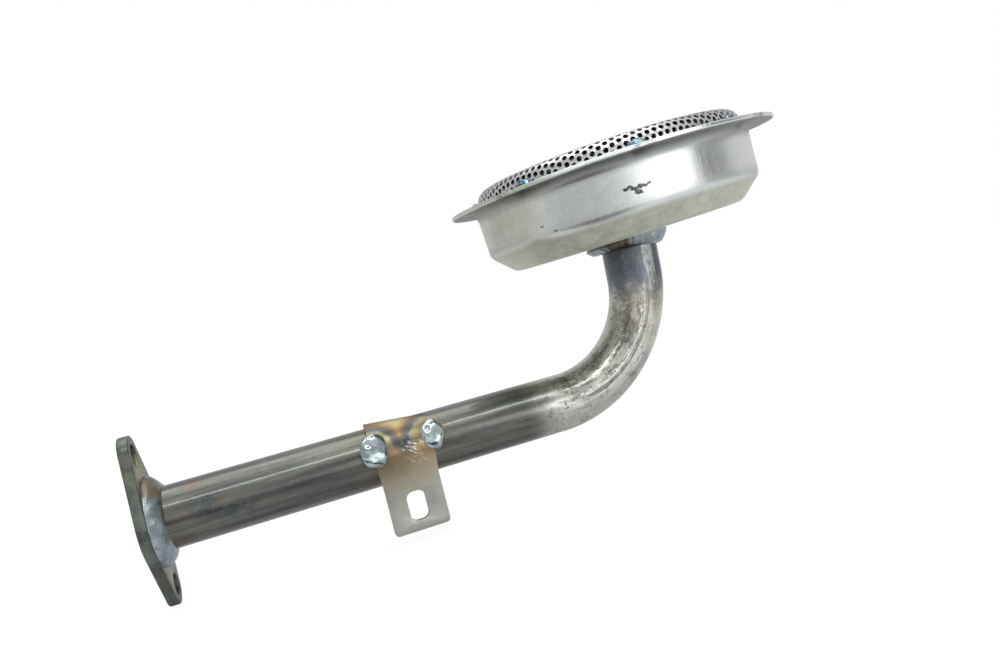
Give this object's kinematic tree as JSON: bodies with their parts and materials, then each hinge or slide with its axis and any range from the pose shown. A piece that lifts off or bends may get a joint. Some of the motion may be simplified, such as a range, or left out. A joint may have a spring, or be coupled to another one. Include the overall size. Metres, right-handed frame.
{
  "type": "oil pickup tube",
  "caption": "Bent steel oil pickup tube with a bolt-on flange, a slotted support bracket and a round pressed cup closed by a domed, perforated screen.",
  "frame": {"origin": "centre of the flange's mating face, on the tube's axis", "axes": "+X along the straight run of the tube, away from the mating face; +Z the way the tube bends, towards the screen; the bracket's tab lies on the -Y side"},
  "size_m": [0.226, 0.112, 0.1086],
  "materials": {
    "flange_steel": "dark mill finish with a little heat tint",
    "tube_steel": "dark mill finish, scuffed at the bend, heat tint at the welds",
    "flange_weld_metal": "shiny blue-grey weld bead",
    "bracket_steel": "satin sheet with straw and blue heat tint",
    "nugget_metal": "shiny silvery weld nugget",
    "cup_steel": "bright satin pressed sheet",
    "cup_weld_metal": "rippled grey weld bead",
    "screen_steel": "bright perforated sheet",
    "tack_metal": "small tack weld with blue heat tint"
  },
  "bodies": {
    "root": {"mounting_flange": "flange_steel", "pickup_tube": "tube_steel", "flange_weld": "flange_weld_metal", "support_bracket": "bracket_steel", "bracket_weld_left": "nugget_metal", "bracket_weld_right": "nugget_metal", "pickup_cup": "cup_steel", "cup_weld": "cup_weld_metal", "screen": "screen_steel", "screen_tacks": "tack_metal"}
  },
  "joints": []
}
